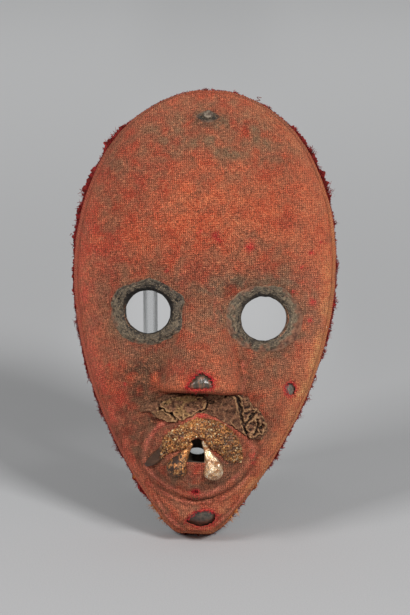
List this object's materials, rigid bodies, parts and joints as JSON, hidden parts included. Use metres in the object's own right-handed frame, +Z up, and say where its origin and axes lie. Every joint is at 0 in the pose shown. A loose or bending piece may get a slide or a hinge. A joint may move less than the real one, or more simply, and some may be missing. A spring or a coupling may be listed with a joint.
{
  "type": "cloth-covered wooden face mask on a clear acrylic stand",
  "caption": "Oval carved face mask covered with red ribbed cloth, with round eye holes, hide moustache and brass teeth, leaning on a clear upright stand.",
  "frame": {"origin": "centre of the bounding box at the level that the part stands on", "axes": "+Z up, along the mask from chin to crown; the face looks towards -Y and leans back 16 degrees; +X is to the right of someone who looks at the face"},
  "size_m": [0.1428, 0.162, 0.2339],
  "materials": {
    "dark_wood": "blackened, carved by hand, polished where it is touched",
    "red_cloth": "fine ribbed knit, faded and soiled, frayed at its edges",
    "dark_resin": "lumpy dried resin with fibres in it",
    "brown_hide": "crumpled, dry",
    "golden_crust": "granular, half shiny",
    "worn_brass": "hand-beaten, worn bright with dark pits",
    "dark_iron": "oxidised",
    "clear_acrylic": "polished clear plastic"
  },
  "bodies": {
    "root": {"wood_shell": "dark_wood", "cloth_cover": "red_cloth", "eye_rim_left": "dark_resin", "eye_rim_right": "dark_resin", "moustache": "brown_hide", "lip_crust": "golden_crust", "tooth_left": "worn_brass", "tooth_right": "worn_brass", "forehead_nail": "dark_iron", "stand_post": "clear_acrylic", "stand_base": "clear_acrylic"}
  },
  "joints": []
}
